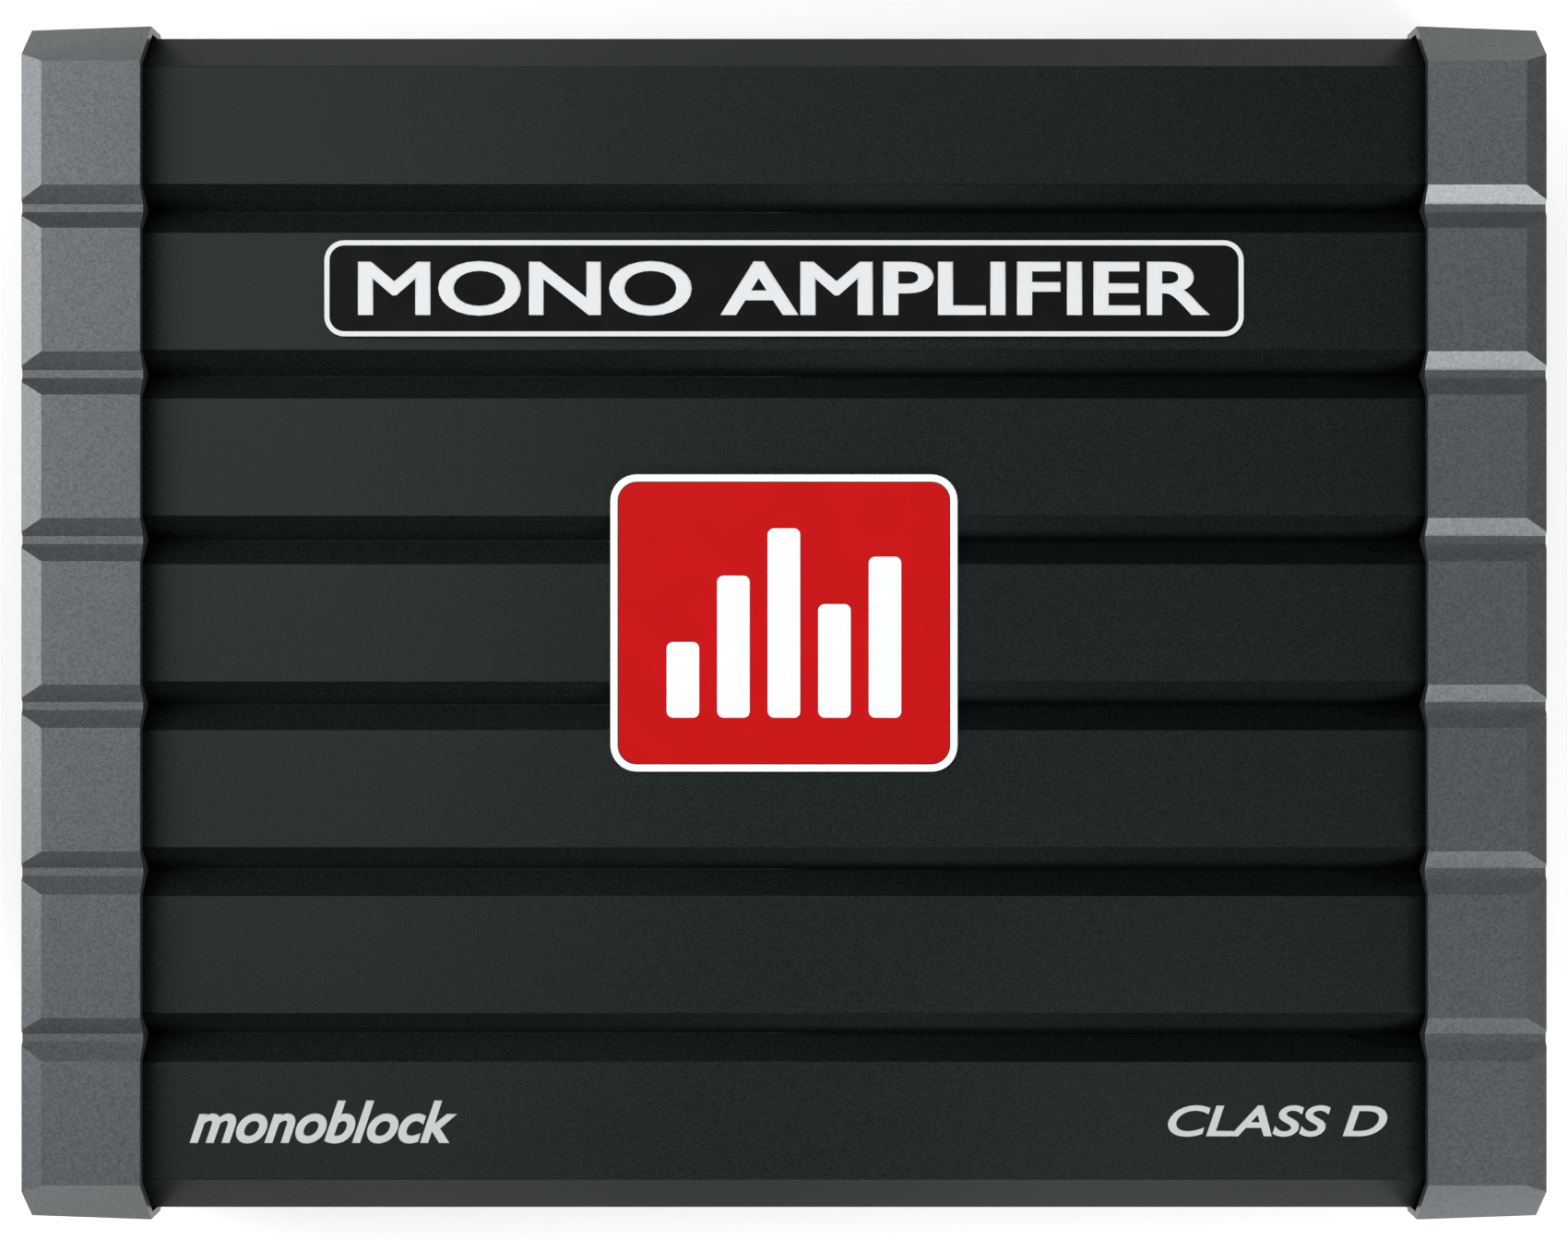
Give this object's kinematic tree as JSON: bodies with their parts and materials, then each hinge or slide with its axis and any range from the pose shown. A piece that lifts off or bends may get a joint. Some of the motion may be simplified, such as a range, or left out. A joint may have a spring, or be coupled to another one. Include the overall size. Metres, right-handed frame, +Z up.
{
  "type": "amplifier",
  "caption": "Mono-block car amplifier: grooved black heatsink body, grey moulded end caps, red centre badge, signal controls at one end and wire terminals with blade fuses at the other",
  "frame": {"origin": "centre of the base plate's underside, on the surface that the amplifier rests on", "axes": "+X along the grooves towards the power end, +Y across them towards the name plate's side, +Z up out of the grooved top"},
  "size_m": [0.29, 0.23, 0.056],
  "materials": {
    "black_anodised_aluminium": "blasted and black anodised, satin, fine grain",
    "grey_metallic_paint": "metallic grey paint on a moulded cap, satin with fine flake",
    "black_coated_steel": "black powder coat, fine texture",
    "zinc_plated_steel": "bright zinc plate",
    "red_enamel": "glossy red enamel with a silver rim",
    "gloss_black_plate": "gloss black name plate with white print",
    "board_laminate": "green solder mask",
    "copper_winding": "enamelled copper wire",
    "capacitor_sleeve": "dark shrink sleeve",
    "black_plastic": "moulded, fine matte texture",
    "gold_plated_brass": "bright gold plate",
    "bare_aluminium": "sawn and brushed",
    "fuse_amber": "clear-tinted moulding",
    "led_blue": "tinted lens",
    "led_red": "tinted lens"
  },
  "bodies": {
    "case": {"heatsink_shell": "black_anodised_aluminium", "base_plate": "black_coated_steel", "signal_end_panel": "black_coated_steel", "power_end_panel": "black_coated_steel", "name_plate": "gloss_black_plate", "centre_badge": "red_enamel", "main_circuit_board": "board_laminate", "power_transformer_1": "copper_winding", "power_transformer_2": "copper_winding", "output_choke": "copper_winding", "supply_capacitor_1": "capacitor_sleeve", "supply_capacitor_2": "capacitor_sleeve", "supply_capacitor_3": "capacitor_sleeve", "supply_capacitor_4": "capacitor_sleeve", "transistor_clamp_front": "bare_aluminium", "transistor_clamp_rear": "bare_aluminium", "power_transistor_front_1": "black_plastic", "power_transistor_front_2": "black_plastic", "power_transistor_rear_1": "black_plastic", "power_transistor_rear_2": "black_plastic", "signal_end_cap": "grey_metallic_paint", "power_end_cap": "grey_metallic_paint", "signal_cap_screw_a": "black_coated_steel", "signal_cap_screw_b": "black_coated_steel", "power_cap_screw_a": "black_coated_steel", "power_cap_screw_b": "black_coated_steel", "rca_jack_block": "black_plastic", "rca_input_right": "gold_plated_brass", "rca_input_left": "gold_plated_brass", "rca_output_right": "gold_plated_brass", "rca_output_left": "gold_plated_brass", "potentiometer_level": "black_plastic", "potentiometer_low_pass": "black_plastic", "potentiometer_subsonic": "black_plastic", "potentiometer_bass_boost": "black_plastic", "phase_switch_body": "zinc_plated_steel", "remote_level_jack": "black_plastic", "power_indicator": "led_blue", "protect_indicator": "led_red", "power_terminal_block": "black_plastic", "power_insert_battery": "gold_plated_brass", "power_insert_remote": "gold_plated_brass", "power_insert_ground": "gold_plated_brass", "speaker_terminal_block": "black_plastic", "speaker_insert_positive": "gold_plated_brass", "speaker_insert_negative": "gold_plated_brass", "fuse_holder": "black_plastic"},
    "level_knob": {"knob_level": "black_plastic"},
    "low_pass_knob": {"knob_low_pass": "black_plastic"},
    "subsonic_knob": {"knob_subsonic": "black_plastic"},
    "bass_boost_knob": {"knob_bass_boost": "black_plastic"},
    "phase_slider": {"phase_switch_slider": "black_plastic"},
    "fuse_1": {"blade_fuse_1": "fuse_amber"},
    "fuse_2": {"blade_fuse_2": "fuse_amber"},
    "fuse_3": {"blade_fuse_3": "fuse_amber"},
    "power_battery_screw": {"power_clamp_screw_battery": "zinc_plated_steel"},
    "power_remote_screw": {"power_clamp_screw_remote": "zinc_plated_steel"},
    "power_ground_screw": {"power_clamp_screw_ground": "zinc_plated_steel"},
    "speaker_positive_screw": {"speaker_clamp_screw_positive": "zinc_plated_steel"},
    "speaker_negative_screw": {"speaker_clamp_screw_negative": "zinc_plated_steel"}
  },
  "joints": [
    {"name": "level_turn", "type": "hinge", "parent": "case", "child": "level_knob", "pos_m": [-0.138, 0.044, 0.027], "axis": [-1, 0, 0], "range_deg": [-135, 135]},
    {"name": "low_pass_turn", "type": "hinge", "parent": "case", "child": "low_pass_knob", "pos_m": [-0.138, 0.027, 0.027], "axis": [-1, 0, 0], "range_deg": [-135, 135]},
    {"name": "subsonic_turn", "type": "hinge", "parent": "case", "child": "subsonic_knob", "pos_m": [-0.138, 0.01, 0.027], "axis": [-1, 0, 0], "range_deg": [-135, 135]},
    {"name": "bass_boost_turn", "type": "hinge", "parent": "case", "child": "bass_boost_knob", "pos_m": [-0.138, -0.007, 0.027], "axis": [-1, 0, 0], "range_deg": [-135, 135]},
    {"name": "phase_slide", "type": "slide", "parent": "case", "child": "phase_slider", "axis": [0, -1, 0], "range_m": [0, 0.003]},
    {"name": "fuse_1_pull", "type": "slide", "parent": "case", "child": "fuse_1", "axis": [1, 0, 0], "range_m": [0, 0.018]},
    {"name": "fuse_2_pull", "type": "slide", "parent": "case", "child": "fuse_2", "axis": [1, 0, 0], "range_m": [0, 0.018]},
    {"name": "fuse_3_pull", "type": "slide", "parent": "case", "child": "fuse_3", "axis": [1, 0, 0], "range_m": [0, 0.018]},
    {"name": "power_battery_screw_turn", "type": "hinge", "parent": "case", "child": "power_battery_screw", "pos_m": [0.1285, -0.014, 0.027], "axis": [0, 0, 1], "range_deg": [-1440, 0]},
    {"name": "power_remote_screw_turn", "type": "hinge", "parent": "case", "child": "power_remote_screw", "pos_m": [0.1285, 0.005, 0.027], "axis": [0, 0, 1], "range_deg": [-1440, 0]},
    {"name": "power_ground_screw_turn", "type": "hinge", "parent": "case", "child": "power_ground_screw", "pos_m": [0.1285, 0.024, 0.027], "axis": [0, 0, 1], "range_deg": [-1440, 0]},
    {"name": "speaker_positive_screw_turn", "type": "hinge", "parent": "case", "child": "speaker_positive_screw", "pos_m": [0.1285, 0.0585, 0.027], "axis": [0, 0, 1], "range_deg": [-1440, 0]},
    {"name": "speaker_negative_screw_turn", "type": "hinge", "parent": "case", "child": "speaker_negative_screw", "pos_m": [0.1285, 0.0775, 0.027], "axis": [0, 0, 1], "range_deg": [-1440, 0]}
  ]
}
